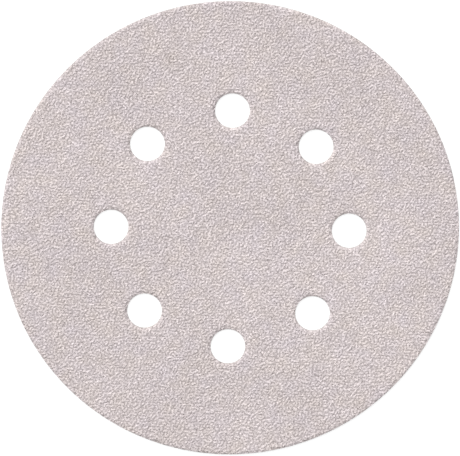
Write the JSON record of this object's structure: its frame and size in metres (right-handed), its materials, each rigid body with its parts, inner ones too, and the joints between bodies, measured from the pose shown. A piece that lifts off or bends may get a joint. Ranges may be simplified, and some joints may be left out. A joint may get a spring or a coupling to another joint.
{
  "type": "sanding disc",
  "caption": "Round hook-and-loop sanding disc: a flat pale abrasive face on paper, a loop-pile back and a ring of dust holes.",
  "frame": {"origin": "centre of the loop face, where the disc lies on the sander's pad", "axes": "+Z out of the grain face, +Y through the first dust hole"},
  "size_m": [0.125, 0.125, 0.0012],
  "materials": {
    "abrasive_sheet": "matt pinkish-grey grain under a pale anti-clog coat",
    "backing_paper": "off-white fibrous paper, seen only at the cut edges",
    "loop_pile": "soft white knitted loop pile"
  },
  "bodies": {
    "root": {"sanding_disc": "abrasive_sheet"}
  },
  "joints": []
}
